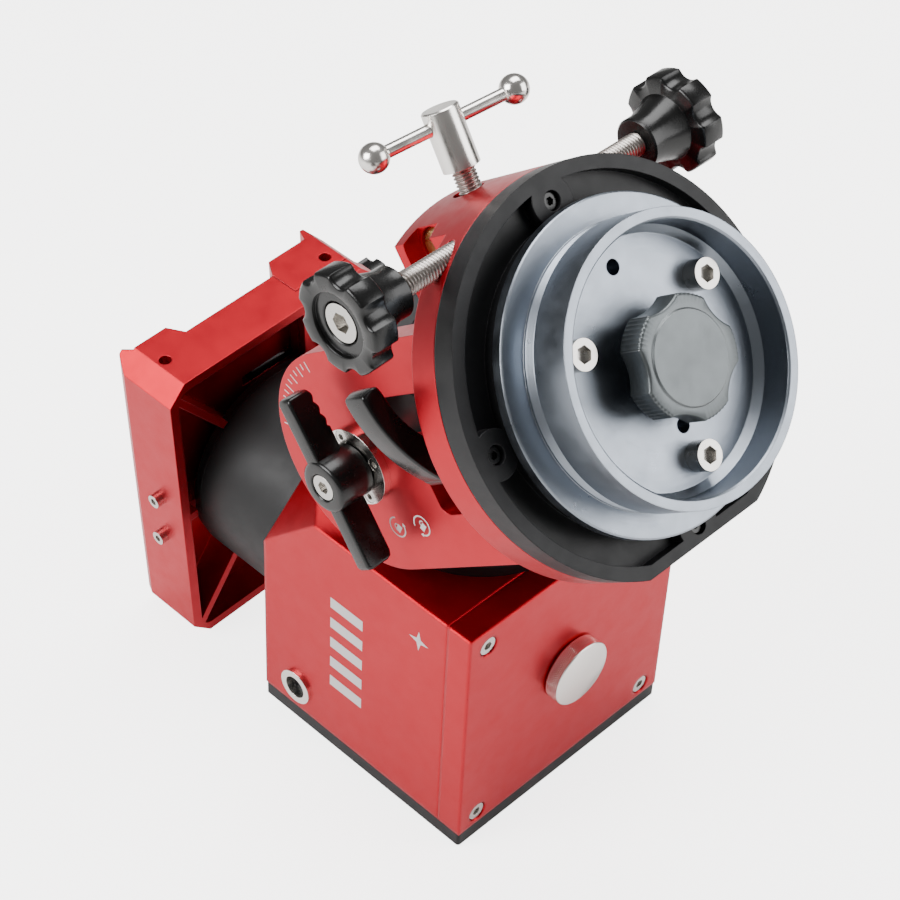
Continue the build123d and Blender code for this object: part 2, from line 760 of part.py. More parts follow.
with BuildPart() as box:
    with BuildSketch(head_plane(BOX_TOP)):
        with Locations(((BOX_X0 + BOX_X1) / 2, 0)):
            Rectangle(BOX_X1 - BOX_X0, 2 * BOX_HALF_Y)
    extrude(amount=BOX_BOTTOM - BOX_TOP)
    add(corner_cutter(), mode=Mode.SUBTRACT)
    with BuildSketch(head_plane(BOX_BOTTOM)):
        with Locations(((BOX_X0 + BOX_X1) / 2 + 3.5, 0)):
            RectangleRounded(BOX_X1 - BOX_X0 - 15.0, 2 * BOX_HALF_Y - 10.0, 4.0)
    extrude(amount=-58.0, mode=Mode.SUBTRACT)
    with BuildSketch(rail_plane(-BOX_X0)):
        Circle(HOUSING_BORE_R)
    extrude(amount=-30, mode=Mode.SUBTRACT)
    with BuildSketch(end_plane(BOX_X1)):
        with Locations((0, DEC_Z)):
            Rectangle(2 * BOX_HALF_Y - 26.0, 66)
    extrude(amount=-18, mode=Mode.SUBTRACT)
    with BuildSketch(end_plane(BOX_X1)):
        for px in (-43.3, 43.3):
            for pz in (53.5, 139.5):
                with Locations((px, pz)):
                    Circle(2.0)
    extrude(amount=-5, mode=Mode.SUBTRACT)
    with BuildSketch(Plane(origin=head(-35.7, BOX_HALF_Y, 134.0), x_dir=SIDE, z_dir=X_DIR * -1)):
        Circle(5.6)
    extrude(amount=-12, mode=Mode.SUBTRACT)
save(box.part, "dec_housing")

with BuildPart() as end_block:
    with BuildSketch(end_plane(BOX_X1)):
        with Locations((0, (BOX_TOP + BOX_BOTTOM) / 2)):
            Rectangle(2 * BOX_HALF_Y, BOX_BOTTOM - BOX_TOP)
    extrude(amount=PLATE_X1 - BOX_X1)
    with BuildSketch(end_plane(BOX_X1)):
        with Locations((0, DEC_Z)):
            Circle(11.0)
    extrude(amount=-14.0)
    with BuildSketch(end_plane(PLATE_X1)):
        with Locations((0, DEC_Z)):
            Circle(6.05)
    extrude(amount=-24.5, mode=Mode.SUBTRACT)
    with BuildSketch(end_plane(PLATE_X1)):
        for px in (-43.3, 43.3):
            for pz in (53.5, 139.5):
                with Locations((px, pz)):
                    Circle(3.9)
    extrude(amount=-4.4, mode=Mode.SUBTRACT)
    with BuildSketch(end_plane(PLATE_X1)):
        for px in (-43.3, 43.3):
            for pz in (53.5, 139.5):
                with Locations((px, pz)):
                    Circle(2.1)
    extrude(amount=-12, mode=Mode.SUBTRACT)
save(end_block.part, "end_plate")

end_planes = []
for px in (-43.3, 43.3):
    for pz in (53.5, 139.5):
        origin = end_plane(PLATE_X1 - 4.4).from_local_coords((px, pz, 0))
        end_planes.append(Plane(origin=origin, x_dir=X_DIR * -1, z_dir=SIDE))
save(cap_screw(end_planes, 3.5, 4.0, 2.0, 11.0, 1.75, 2.2), "end_plate_screws")

with BuildPart() as cover:
    with BuildSketch(head_plane(BOX_BOTTOM)):
        with Locations(((BOX_X0 + PLATE_X1) / 2, 0)):
            RectangleRounded(PLATE_X1 - BOX_X0, 2 * BOX_HALF_Y, 1.2)
    extrude(amount=COVER_BOTTOM - BOX_BOTTOM)
    chamfer(cover.faces().sort_by(Axis(RA_POINT, POLE))[-1].edges(), 0.8)
    with BuildSketch(head_plane(COVER_BOTTOM)):
        for px in (-45.0, 40.0):
            for py in (-44.0, 44.0):
                with Locations((px, py)):
                    Circle(3.0)
    extrude(amount=-3.4, mode=Mode.SUBTRACT)
    with BuildSketch(head_plane(COVER_BOTTOM)):
        for px in (-45.0, 40.0):
            for py in (-44.0, 44.0):
                with Locations((px, py)):
                    Circle(1.5)
    extrude(amount=-8, mode=Mode.SUBTRACT)
save(cover.part, "bottom_cover")

cover_planes = []
for px in (-45.0, 40.0):
    for py in (-44.0, 44.0):
        cover_planes.append(Plane(origin=head(px, py, COVER_BOTTOM - 3.4), x_dir=SIDE, z_dir=POLE))
save(cap_screw(cover_planes, 2.75, 3.0, 1.5, 3.2, 1.4, 1.6), "cover_screws")

bezel_plane = Plane(origin=head(-35.7, BOX_HALF_Y, 134.0), x_dir=SIDE, z_dir=X_DIR * -1)
with BuildPart() as bezel:
    with BuildSketch(bezel_plane):
        Circle(7.2)
        Circle(4.6, mode=Mode.SUBTRACT)
    extrude(amount=1.3)
    with BuildSketch(bezel_plane):
        Circle(5.6)
        Circle(4.6, mode=Mode.SUBTRACT)
    extrude(amount=-7.0)
save(bezel.part, "cable_socket")

with BuildPart() as insert:
    with BuildSketch(bezel_plane.offset(-7.0)):
        Circle(4.6)
    extrude(amount=4.5)
    with BuildSketch(bezel_plane.offset(-2.5)):
        with PolarLocations(2.4, 4, start_angle=45):
            Circle(0.5)
    extrude(amount=2.0)
save(insert.part, "cable_socket_pins")

with BuildPart() as dec_sleeve:
    with BuildSketch(unit_plane("dec", -BOX_X0 - DEC_UNIT)):
        Circle(HOUSING_R)
        Circle(HOUSING_BORE_R, mode=Mode.SUBTRACT)
    extrude(amount=UNIT_TOP + BOX_X0 + DEC_UNIT)
    with BuildSketch(unit_plane("dec", -2.0)):
        Circle(HOUSING_BORE_R)
        Circle(5.0, mode=Mode.SUBTRACT)
        with Locations((MOTOR_OFFSET, 0)):
            Circle(3.2, mode=Mode.SUBTRACT)
    extrude(amount=3.5)
save(dec_sleeve.part, "dec_sleeve")

with BuildPart() as plug:
    with BuildSketch(end_plane(PLATE_X1 + GAP)):
        with Locations((0, DEC_Z)):
            Circle(13.0)
    extrude(amount=6.0)
    chamfer(plug.edges().filter_by(GeomType.CIRCLE), 0.5)
    with BuildSketch(end_plane(PLATE_X1 + GAP)):
        with Locations((0, DEC_Z)):
            Circle(6.0)
    extrude(amount=-16.0)
save(plug.part, "shaft_plug")

# ---- Saddle, turned by the declination drive ----

JAW_IN = 17.7
JAW_OUT = 46.8
CLAMP_X = 33.5
CLAMP_Z = 114.5
CLAMP_R = 3.0


def rail_profile(x):
    """Plane square to the dovetail: local x runs away from the fixed jaw, local y is outwards."""
    across = RAIL_SIDE * -1
    return Plane(origin=DEC_POINT + RAIL * x, x_dir=across, z_dir=across.cross(OUTWARD))


def wall_plane(y, z):
    """Plane square to the clamp screws, facing away from the fixed jaw, with its x along the dovetail."""
    origin = DEC_POINT - RAIL_SIDE * y + OUTWARD * z
    return Plane(origin=origin, x_dir=RAIL, z_dir=RAIL_SIDE * -1)


def end_cutter():
    """The four long corners of the saddle, cut at 45 degrees."""
    far = SADDLE_HALF_L + 1
    wide = SADDLE_HALF_W + 1
    cut = SADDLE_CHAMFER + 2
    with BuildPart(mode=Mode.PRIVATE) as cutter:
        for sx in (-1, 1):
            for sy in (-1, 1):
                with BuildSketch(rail_plane(SADDLE_BACK - 1)):
                    with BuildLine():
                        Polyline(
                            (sx * far, sy * wide),
                            (sx * far, sy * (wide - cut)),
                            (sx * (far - cut), sy * wide),
                            close=True,
                        )
                    make_face()
                extrude(amount=40)
    return cutter.part


with BuildPart() as saddle:
    with BuildSketch(rail_profile(0)):
        with BuildLine():
            Polyline(
                (-SADDLE_HALF_W, SADDLE_BACK),
                (-SADDLE_HALF_W, 124.5),
                (-46.8, SADDLE_TIP),
                (-45.4, SADDLE_TIP),
                (-43.6, SADDLE_LAND),
                (-28.5, SADDLE_LAND),
                (-24.8, SADDLE_FLOOR),
                (JAW_IN - GAP, SADDLE_FLOOR),
                (JAW_IN - GAP, SADDLE_SHELF),
                (SADDLE_HALF_W, SADDLE_SHELF),
                (SADDLE_HALF_W, SADDLE_BACK),
                close=True,
            )
        make_face()
    extrude(amount=SADDLE_HALF_L, both=True)
    add(end_cutter(), mode=Mode.SUBTRACT)
    with BuildSketch(rail_plane(SADDLE_BACK)):
        Circle(43.0)
    extrude(amount=SADDLE_POCKET - SADDLE_BACK, mode=Mode.SUBTRACT)
    with BuildSketch(rail_plane(SADDLE_BACK)):
        with Locations((0, 0)):
            RectangleRounded(2 * SADDLE_HALF_L - 8, 2 * SADDLE_HALF_W - 8, 5.0)
        with Locations((0, -58)):
            Rectangle(200, 80, mode=Mode.SUBTRACT)
        for turn in (-38, 38, 90):
            with Locations(Rotation(0, 0, turn)):
                Rectangle(200, 3.0, mode=Mode.SUBTRACT)
    extrude(amount=13.0, mode=Mode.SUBTRACT)
    with BuildSketch(rail_plane(SADDLE_BACK)):
        with Locations((0, 0)):
            RectangleRounded(2 * SADDLE_HALF_L - 8, 2 * SADDLE_HALF_W - 8, 5.0)
        with Locations((0, 22)):
            Rectangle(200, 80, mode=Mode.SUBTRACT)
        for turn in (-38, 38, 90):
            with Locations(Rotation(0, 0, turn)):
                Rectangle(200, 3.0, mode=Mode.SUBTRACT)
    extrude(amount=5.0, mode=Mode.SUBTRACT)
    for px in (-CLAMP_X, CLAMP_X):
        with BuildSketch(wall_plane(JAW_IN - GAP, CLAMP_Z)):
            with Locations((px, 0)):
                Circle(CLAMP_R + RUN)
        extrude(amount=-24, mode=Mode.SUBTRACT)
    for px in (-4.3, 15.5):
        with BuildSketch(wall_plane(-SADDLE_HALF_W, 112.0)):
            with Locations((px, 0)):
                Circle(1.5)
        extrude(amount=9, mode=Mode.SUBTRACT)
    for sx in (-1, 1):
        end = Plane(
            origin=DEC_POINT + RAIL * (sx * SADDLE_HALF_L) + RAIL_SIDE * 39.7 + OUTWARD * 113.6,
            x_dir=RAIL_SIDE,
            z_dir=RAIL * sx,
        )
        with BuildSketch(end):
            Circle(2.3)
        extrude(amount=-9, mode=Mode.SUBTRACT)
save(saddle.part, "saddle_plate")

guard_planes = []
for px in (-4.3, 15.5):
    origin = DEC_POINT + RAIL * px + RAIL_SIDE * SADDLE_HALF_W + OUTWARD * 112.0
    guard_planes.append(Plane(origin=origin, x_dir=RAIL, z_dir=RAIL_SIDE))
save(cap_screw(guard_planes, 2.75, 3.0, 1.5, 8.0, 1.45, 1.6), "jaw_screws")

with BuildPart() as jaw:
    with BuildSketch(rail_profile(0)):
        with BuildLine():
            Polyline(
                (JAW_IN, SADDLE_SHELF + GAP),
                (JAW_IN, SADDLE_FLOOR + 0.6),
                (JAW_IN + 3.8, SADDLE_LAND),
                (39.6, SADDLE_LAND),
                (41.4, SADDLE_TIP),
                (42.8, SADDLE_TIP),
                (JAW_OUT, 124.5),
                (JAW_OUT, SADDLE_SHELF + GAP),
                close=True,
            )
        make_face()
    extrude(amount=SADDLE_HALF_L, both=True)
    add(end_cutter(), mode=Mode.SUBTRACT)
    for px in (-CLAMP_X, CLAMP_X):
        with BuildSketch(wall_plane(JAW_OUT, CLAMP_Z)):
            with Locations((px, 0)):
                Circle(CLAMP_R + RUN)
        extrude(amount=-40, mode=Mode.SUBTRACT)
    for sx in (-1, 1):
        end = Plane(
            origin=DEC_POINT + RAIL * (sx * SADDLE_HALF_L) - RAIL_SIDE * 38.0 + OUTWARD * 113.6,
            x_dir=RAIL_SIDE,
            z_dir=RAIL * sx,
        )
        with BuildSketch(end):
            Circle(2.3)
        extrude(amount=-9, mode=Mode.SUBTRACT)
save(jaw.part, "clamp_jaw")

for name, px in (("upper", -CLAMP_X), ("lower", CLAMP_X)):
    with BuildPart() as clamp_knob:
        with BuildSketch(wall_plane(JAW_OUT + GAP, CLAMP_Z)):
            with Locations((px, 0)):
                Circle(6.5)
        extrude(amount=8.0)
        with BuildSketch(wall_plane(JAW_OUT + GAP + 6.0, CLAMP_Z)):
            with Locations((px, 0)):
                Circle(12.0)
                with PolarLocations(14.4, 7):
                    Circle(4.2, mode=Mode.SUBTRACT)
        extrude(amount=14.0)
        with BuildSketch(wall_plane(JAW_OUT + GAP, CLAMP_Z)):
            with Locations((px, 0)):
                Circle(CLAMP_R)
        extrude(amount=-(JAW_OUT + GAP + 2.0))
    save(clamp_knob.part, "clamp_knob_" + name)
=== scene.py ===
import bmesh
import bpy
import json
import math
from mathutils import Matrix, Vector


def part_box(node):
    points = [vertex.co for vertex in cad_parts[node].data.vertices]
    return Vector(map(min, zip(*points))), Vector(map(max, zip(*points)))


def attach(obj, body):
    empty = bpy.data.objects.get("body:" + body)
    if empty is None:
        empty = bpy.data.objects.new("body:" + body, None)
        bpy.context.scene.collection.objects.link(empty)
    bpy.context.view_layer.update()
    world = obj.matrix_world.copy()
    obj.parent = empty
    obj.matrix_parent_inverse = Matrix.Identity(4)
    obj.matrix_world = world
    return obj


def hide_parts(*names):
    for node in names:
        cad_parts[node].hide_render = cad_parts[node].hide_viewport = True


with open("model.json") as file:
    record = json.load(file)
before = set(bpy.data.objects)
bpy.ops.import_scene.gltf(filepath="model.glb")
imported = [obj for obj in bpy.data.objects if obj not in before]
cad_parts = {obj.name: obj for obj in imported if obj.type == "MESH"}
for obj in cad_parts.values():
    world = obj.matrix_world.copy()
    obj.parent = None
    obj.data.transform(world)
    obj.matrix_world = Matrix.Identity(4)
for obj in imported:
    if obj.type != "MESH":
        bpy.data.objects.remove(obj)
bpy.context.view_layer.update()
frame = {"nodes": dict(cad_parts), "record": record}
nodes = frame["nodes"]

# ---- directions and places on the mount, in the row frame ----

MM = 0.001
X_AXIS = (1, 0, 0)
Y_AXIS = (0, 1, 0)
Z_AXIS = (0, 0, 1)
LATITUDE = math.radians(38.7)
POLE = Vector((0, math.cos(LATITUDE), math.sin(LATITUDE)))
SIDE = Vector((0, math.sin(LATITUDE), -math.cos(LATITUDE)))
LEFT = Vector((-1, 0, 0))
ALTITUDE_AXIS_Z = 0.107
RA_POINT = Vector((0, 0, ALTITUDE_AXIS_Z)) + SIDE * 0.0042
AZIMUTH_SCREWS_AT = Vector((0, -0.0552, 0.0422))
ALTITUDE_NUT_AT = Vector((0, -0.0555, 0.064))
ALTITUDE_SCREW_TILT = math.radians(5.6)
ALTITUDE_SCREW_OUT = Vector((0, -math.cos(ALTITUDE_SCREW_TILT), -math.sin(ALTITUDE_SCREW_TILT)))


def head(x, y, z):
    """A point given in the head's own axes, in millimetres."""
    return RA_POINT + (SIDE * x + LEFT * y + POLE * z) * MM


# ---- node helpers ----


def add(tree, kind, links=None, **settings):
    """A shader node with its settings, its inputs set by name to a value or linked to a socket."""
    made = tree.nodes.new(kind)
    for key, value in settings.items():
        setattr(made, key, value)
    for key, value in (links or {}).items():
        if isinstance(value, bpy.types.NodeSocket):
            tree.links.new(value, made.inputs[key])
        else:
            made.inputs[key].default_value = value
    return made


def maths(tree, operation, a, b=0.0):
    return add(tree, "ShaderNodeMath", {0: a, 1: b}, operation=operation).outputs[0]


def vectors(tree, operation, links):
    return add(tree, "ShaderNodeVectorMath", links, operation=operation).outputs


def remap(tree, value, low, high, to_low, to_high):
    links = {"Value": value, "From Min": low, "From Max": high, "To Min": to_low, "To Max": to_high}
    return add(tree, "ShaderNodeMapRange", links).outputs["Result"]


def noise(tree, where, scale, detail=3.0, rough=0.5):
    links = {"Vector": where, "Scale": scale, "Detail": detail, "Roughness": rough}
    return add(tree, "ShaderNodeTexNoise", links).outputs["Fac"]


def shade(tree, factor, a, b):
    """A mix of two colours: sockets 6 and 7 are the Mix node's colour inputs and 2 is its colour output."""
    return add(tree, "ShaderNodeMix", {0: factor, 6: a, 7: b}, data_type="RGBA").outputs[2]


def rgba(colour, gain):
    return tuple(min(1.0, c * gain) for c in colour) + (1.0,)


def radius_about(tree, where, centre, axis):
    """Distance of a point from a line through centre along axis."""
    moved = vectors(tree, "SUBTRACT", {0: where, 1: tuple(centre)})[0]
    turned = vectors(tree, "CROSS_PRODUCT", {0: moved, 1: tuple(axis)})[0]
    return vectors(tree, "LENGTH", {0: turned})["Value"]


# ---- finishes ----

BLASTED_DEPTH = 0.00006
TURNED_DEPTH = 0.00005
TURNING_MARKS_PER_METRE = 5200.0


def finish_metal(name, colour, metallic, rough, edge=0.35, grain=0.25, grain_size=2600.0,
                 coat=0.0, coat_rough=0.3, lathe=None, lathe_depth=0.3, round_edge=0.0004,
                 spread=0.1, specular=0.5, edge_light=0.35):
    """A machined or anodised finish: softened edges with a painted highlight, blasted grain, faint handling
    marks, turning marks.
    """
    mat = bpy.data.materials.new(name)
    mat.use_nodes = True
    tree = mat.node_tree
    tree.nodes.clear()
    where = add(tree, "ShaderNodeTexCoord").outputs["Object"]

    # wear and painted highlight: where the rounded normal leaves the flat one, an edge is near
    flat = add(tree, "ShaderNodeNewGeometry").outputs["Normal"]
    rounded = add(tree, "ShaderNodeBevel", {"Radius": round_edge}, samples=6).outputs["Normal"]
    corner = vectors(tree, "DOT_PRODUCT", {0: flat, 1: rounded})["Value"]
    wear_and_highlight = remap(tree, corner, 0.995, 0.80, 0.0, 1.0)

    # colour: broad variation, fine specks, and edges made paler as a painted highlight
    broad = noise(tree, where, 22.0, 4.0, 0.55)
    specks = noise(tree, where, grain_size, 2.0, 0.5)
    tint = shade(tree, broad, rgba(colour, 1.0 - spread), rgba(colour, 1.0 + spread))
    speckled = shade(tree, maths(tree, "MULTIPLY", specks, 0.16), tint, rgba(colour, 0.72))
    # pale is the painted highlight colour that edges are mixed towards; the mask also smooths edges as wear
    pale = tuple(c + (1.0 - c) * edge_light for c in colour) + (1.0,)
    edged = shade(tree, maths(tree, "MULTIPLY", wear_and_highlight, edge), speckled, pale)

    # roughness: handling marks, and edges a little smoother
    patches = noise(tree, where, 130.0, 5.0, 0.6)
    roughness = maths(tree, "ADD", remap(tree, patches, 0.3, 0.7, rough - 0.05, rough + 0.06),
                      remap(tree, wear_and_highlight, 0.0, 1.0, 0.0, -0.06))

    # relief: blasted grain, and turning marks round the lathe axis
    links = {"Strength": grain, "Distance": BLASTED_DEPTH, "Height": specks, "Normal": rounded}
    normal = add(tree, "ShaderNodeBump", links).outputs[0]
    if lathe:
        along = maths(tree, "MULTIPLY", radius_about(tree, where, *lathe), TURNING_MARKS_PER_METRE)
        links = {"W": along, "Detail": 2.0}
        rings = add(tree, "ShaderNodeTexNoise", links, noise_dimensions="1D").outputs["Fac"]
        links = {"Strength": lathe_depth, "Distance": TURNED_DEPTH, "Height": rings, "Normal": normal}
        normal = add(tree, "ShaderNodeBump", links).outputs[0]

    surface = add(tree, "ShaderNodeBsdfPrincipled", {
        "Base Color": edged, "Roughness": roughness, "Normal": normal, "Metallic": metallic,
        "Coat Weight": coat, "Coat Roughness": coat_rough, "Specular IOR Level": specular})
    add(tree, "ShaderNodeOutputMaterial", {"Surface": surface.outputs[0]})
    return mat


AZIMUTH_LATHE = ((0, 0, 0), Z_AXIS)
BLACK = (0.012, 0.012, 0.013)
RED = (0.52, 0.004, 0.016)
RED_FINISH = {"metallic": 0.85, "rough": 0.37, "coat": 0.10, "coat_rough": 0.38, "spread": 0.04}

# In these finishes, edge and edge_light set how strongly edges get a painted highlight
look_of = {
    "adapter_blue": finish_metal("adapter_blue", (0.285, 0.315, 0.36), 1.0, 0.32, edge=0.5, grain=0.12,
                                 lathe=AZIMUTH_LATHE, lathe_depth=0.3, spread=0.05),
    "black_anodised": finish_metal("black_anodised", (0.009, 0.009, 0.010), 0.0, 0.40, edge=0.06,
                                   specular=0.24),
    "black_gloss": finish_metal("black_gloss", (0.004, 0.004, 0.004), 0.0, 0.24, edge=0.03, grain=0.3,
                                grain_size=1500.0, specular=0.45, round_edge=0.0003),
    "black_matte": finish_metal("black_matte", (0.010, 0.010, 0.0105), 0.0, 0.48, edge=0.04, specular=0.35),
    "black_plastic": finish_metal("black_plastic", BLACK, 0.0, 0.5, edge=0.03, grain=0.4, grain_size=1400.0),
    "board": finish_metal("board", (0.02, 0.16, 0.06), 0.0, 0.35, edge=0.05),
    "brass": finish_metal("brass", (0.72, 0.50, 0.20), 1.0, 0.28, edge=0.1, grain=0.1, round_edge=0.0002),
    "grey_anodised": finish_metal("grey_anodised", (0.13, 0.143, 0.148), 0.78, 0.36, edge=0.6,
                                  round_edge=0.0003, lathe=AZIMUTH_LATHE, lathe_depth=0.15, edge_light=0.6),
    "light_alloy": finish_metal("light_alloy", (0.72, 0.72, 0.72), 1.0, 0.34),
    "motor": finish_metal("motor", (0.03, 0.03, 0.033), 0.3, 0.45),
    "nickel": finish_metal("nickel", (0.86, 0.83, 0.79), 1.0, 0.21, edge=0.0, grain=0.06,
                           round_edge=0.0002),
    "red_anodised": finish_metal("red_anodised", RED, edge=0.10, round_edge=0.0005, **RED_FINISH),
    "rubber": finish_metal("rubber", (0.02, 0.02, 0.02), 0.0, 0.7, edge=0.0),
    "spring_steel": finish_metal("spring_steel", (0.58, 0.57, 0.55), 1.0, 0.3),
    "steel": finish_metal("steel", (0.62, 0.60, 0.57), 1.0, 0.24, edge=0.0, grain=0.1, round_edge=0.00015),
}
box_red = finish_metal("red_anodised_box", RED, edge=0.0, round_edge=0.0019, **RED_FINISH)
thread_steel = finish_metal("thread_steel", (0.42, 0.385, 0.36), 1.0, 0.34, edge=0.0, grain=0.1,
                            round_edge=0.0001)
BOX_NODES = ("dec_housing", "end_plate")
slot_of = {s["node"]: s["material_slot"] for s in frame["record"]["subparts"]}
for name, obj in nodes.items():
    obj.data.materials.clear()
    obj.data.materials.append(box_red if name in BOX_NODES else look_of[slot_of[name]])

# ---- mesh helpers ----


def place(origin, axis, x_dir):
    """Matrix whose local Z runs along axis and local X along x_dir, at origin."""
    z = Vector(axis).normalized()
    x = (Vector(x_dir) - z * Vector(x_dir).dot(z)).normalized()
    y = z.cross(x)
    m = Matrix.Identity(4)
    for row in range(3):
        m[row][0], m[row][1], m[row][2], m[row][3] = x[row], y[row], z[row], Vector(origin)[row]
    return m


def piece(name, points, faces, matrix, body, slot, stands_for=(), flat_angle=30):
    """A mesh in millimetres put in place, riding on a body, with its record slot's finish."""
    mesh = bpy.data.meshes.new(name)
    mesh.from_pydata([matrix @ (Vector(p) * MM) for p in points], [], faces)
    bm = bmesh.new()
    bm.from_mesh(mesh)
    bmesh.ops.recalc_face_normals(bm, faces=bm.faces)
    bm.to_mesh(mesh)
    bm.free()
    mesh.shade_smooth()
    mesh.set_sharp_from_angle(angle=math.radians(flat_angle))
    obj = bpy.data.objects.new(name, mesh)
    bpy.context.scene.collection.objects.link(obj)
    mesh.materials.append(look_of[slot])
    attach(obj, body)
    if stands_for:
        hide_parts(*stands_for)
    return obj


def ringed(levels, count, closed=False, fan=True):
    """Points and faces of rings stacked along Z. A level is (height, radius or a function of the angle).

    A closed stack joins its last ring to its first. An open one is capped by fans, or by one polygon each.
    """
    points, faces = [], []
    for height, radius in levels:
        for k in range(count):
            angle = 2 * math.pi * k / count
            r = radius(angle) if callable(radius) else radius
            points.append((r * math.cos(angle), r * math.sin(angle), height))
    rings = len(levels)
    for i in range(rings if closed else rings - 1):
        a, b = i * count, ((i + 1) % rings) * count
        for k in range(count):
            n = (k + 1) % count
            faces.append((a + k, a + n, b + n, b + k))
    if closed:
        return points, faces
    for start, height in ((0, levels[0][0]), ((rings - 1) * count, levels[-1][0])):
        if fan:
            points.append((0, 0, height))
            faces += [(start + k, start + (k + 1) % count, len(points) - 1) for k in range(count)]
        else:
            faces.append(tuple(range(start, start + count)))
    return points, faces


def threaded(length, radius, pitch, depth, count=40, rows=10):
    """Points and faces of a threaded rod along Z from 0, its thread running out at both ends."""
    run_out = 0.7 * pitch

    def groove(z):
        full = min(1.0, z / run_out, (length - z) / run_out)

        def outline(angle):
            phase = (z / pitch - angle / (2 * math.pi)) % 1.0
            crest = min(1.0, max(0.0, (abs(phase - 0.5) * 2 - 0.12) / 0.72))
            return radius - depth + depth * crest * (0.2 + 0.8 * full)

        return outline

    total = int(length / pitch * rows)
    heights = [length * i / total for i in range(total + 1)]
    return ringed([(z, groove(z)) for z in heights], count)


def lobes(radius, number, cutter_r, cutter_at, turn, teeth=0.0):
    """Outline of a round knob with scallops cut by circles, its crests finely toothed if teeth is set."""
    step = 2 * math.pi / number
    tooth_width = 0.5

    def outline(angle):
        off = (angle - turn) % step
        off = min(off, step - off)
        reach = cutter_at * math.sin(off)
        r = radius
        if reach < cutter_r:
            r = min(r, cutter_at * math.cos(off) - math.sqrt(cutter_r ** 2 - reach ** 2))
        if teeth and r > radius - 0.02:
            r -= teeth * abs(math.sin(angle * radius / tooth_width))
        return r

    return outline


def inset(outline, amount):
    return lambda angle: outline(angle) - amount


def knurl(z, radius=13.0, depth=0.26, ridges=110, pitch=1.5):
    """Radius of a diamond knurl at height z, as a function of the angle."""

    def outline(angle):
        turn = ridges * angle / (2 * math.pi)
        a, b = (turn + z / pitch) % 1.0, (turn - z / pitch) % 1.0
        return radius - depth * (1 - min(1.0, 4 * min(a, 1 - a)) * min(1.0, 4 * min(b, 1 - b)))

    return outline


def slab(outline, low, high, edge=1.0, steps=3):
    """Points and faces of an outline extruded along Z with rounded rims, cap faces as one polygon each."""
    n = len(outline)
    normals = []
    for k in range(n):
        ax, ay = outline[k - 1]
        bx, by = outline[(k + 1) % n]
        size = math.hypot(bx - ax, by - ay) or 1.0
        normals.append(((by - ay) / size, -(bx - ax) / size))
    area = sum(outline[k - 1][0] * outline[k][1] - outline[k][0] * outline[k - 1][1] for k in range(n))
    flip = 1.0 if area > 0 else -1.0
    rim = []
    for k in range(steps + 1):
        a = math.pi / 2 * k / steps
        rim.append((low + edge * (1 - math.sin(a)), edge * (1 - math.cos(a))))
    levels = rim[::-1] + [(high - (z - low), inwards) for z, inwards in rim]
    points, faces = [], []
    for z, inwards in levels:
        for (px, py), (nx, ny) in zip(outline, normals):
            points.append((px - nx * inwards * flip, py - ny * inwards * flip, z))
    for i in range(len(levels) - 1):
        for k in range(n):
            m = (k + 1) % n
            faces.append((i * n + k, i * n + m, (i + 1) * n + m, (i + 1) * n + k))
    faces.append(tuple(range(n)))
    faces.append(tuple(range((len(levels) - 1) * n, len(levels) * n)))
    return points, faces


def smooth_outline(corners, samples=10):
    """A closed Catmull-Rom curve through the corners."""
    curve, n = [], len(corners)
    for k in range(n):
        p0, p1, p2, p3 = (corners[(k + i - 1) % n] for i in range(4))
        for s in range(samples):
            t = s / samples
            curve.append(tuple(0.5 * (2 * b + (c - a) * t + (2 * a - 5 * b + 4 * c - d) * t * t
                                      + (3 * b - a - 3 * c + d) * t ** 3)
                               for a, b, c, d in zip(p0, p1, p2, p3)))
    return curve


# ---- finer pieces that stand for plain CAD nodes ----

M8_THREAD = {"radius": 3.98, "pitch": 1.25, "depth": 0.66}
M10_THREAD = {"radius": 4.75, "pitch": 1.5, "depth": 0.75}
KNOB_HUB_X = {"left": 56.0, "right": 51.6}


def azimuth_screw_and_knob(side, sign):
    """A threaded rod and a seven-lobed knob on a flared hub, hollow at its face."""
    low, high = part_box("azimuth_screw_" + side)
    outwards = (sign, 0, 0)
    start = AZIMUTH_SCREWS_AT + Vector((low.x if sign > 0 else high.x, 0, 0))
    points, faces = threaded((high.x - low.x) / MM, **M8_THREAD)
    piece("azimuth_screw_thread_" + side, points, faces, place(start, outwards, Y_AXIS),
          "azimuth_adjuster_" + side, "steel", ["azimuth_screw_" + side], 45)
    rim = lobes(16.8, 7, 5.0, 19.6, math.radians(12))
    levels = [(0.0, 4.05), (0.0, 8.0), (0.6, 8.6), (5.0, 8.6), (13.6, 11.4), (14.3, inset(rim, 0.9)),
              (14.6, inset(rim, 0.35)), (15.2, rim), (22.6, rim), (23.2, inset(rim, 0.25)),
              (23.6, inset(rim, 0.7)), (23.8, inset(rim, 1.3)), (23.8, 11.3), (23.5, 10.8), (22.9, 10.6),
              (22.2, 10.6), (22.2, 7.5), (21.9, 7.1), (21.5, 7.0), (14.0, 7.0), (14.0, 4.05)]
    points, faces = ringed(levels, 280, closed=True)
    origin = AZIMUTH_SCREWS_AT + Vector((sign * KNOB_HUB_X[side] * MM, 0, 0))
    piece("azimuth_knob_body_" + side, points, faces, place(origin, outwards, (0, sign, 0)),
          "azimuth_handwheel_" + side, "black_gloss", ["azimuth_knob_" + side], 35)


